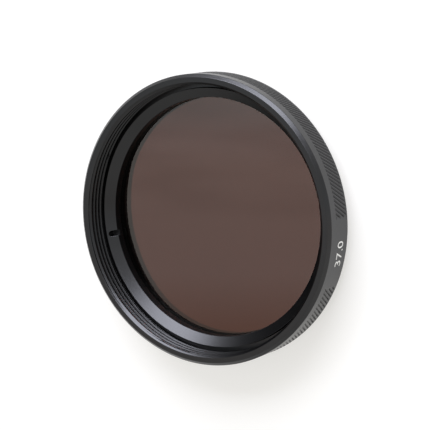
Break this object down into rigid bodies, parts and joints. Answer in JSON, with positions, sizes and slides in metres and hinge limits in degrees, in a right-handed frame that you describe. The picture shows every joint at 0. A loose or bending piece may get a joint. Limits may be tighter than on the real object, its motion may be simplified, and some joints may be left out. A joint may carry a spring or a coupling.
{
  "type": "screw-in lens filter",
  "caption": "Round screw-in lens filter: a black knurled rim with an inner front thread and an outer rear thread holds a dark glass pane under a notched retaining ring.",
  "frame": {"origin": "centre of the rear end, on the optical axis, at the bottom of the part", "axes": "+Z along the optical axis from the rear thread to the front thread; the rim's plain field faces -Y"},
  "size_m": [0.039, 0.039, 0.0068],
  "materials": {
    "rim": "black anodised, satin",
    "glass": "polished, coated",
    "ring": "black anodised, satin"
  },
  "bodies": {
    "root": {"frame_ring": "rim", "filter_glass": "glass", "retaining_ring": "ring"}
  },
  "joints": []
}
